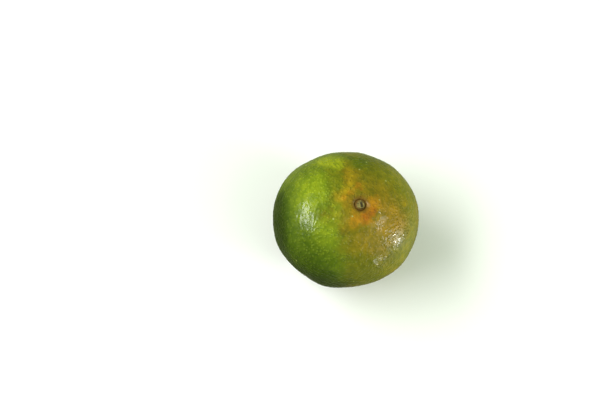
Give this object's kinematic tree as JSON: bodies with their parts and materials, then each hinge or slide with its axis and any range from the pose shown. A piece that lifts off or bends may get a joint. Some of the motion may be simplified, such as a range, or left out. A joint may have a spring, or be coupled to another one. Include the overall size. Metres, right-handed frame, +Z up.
{
  "type": "mandarin",
  "caption": "Whole mandarin fruit, green turning orange, slightly flattened and lumpy, with a low collar and a dried stem button in a shallow socket.",
  "frame": {"origin": "on the ground under the middle of the fruit, in the plane of the flat spot that it rests on", "axes": "+Z up along the stem axis, towards the stem button; +X along the fruit's widest direction within about 9 degrees; +Y across it"},
  "size_m": [0.0652, 0.0604, 0.0518],
  "materials": {
    "peel": "satin",
    "dried_stem": "matte"
  },
  "bodies": {
    "root": {"fruit": "peel", "stem_button": "dried_stem"}
  },
  "joints": []
}
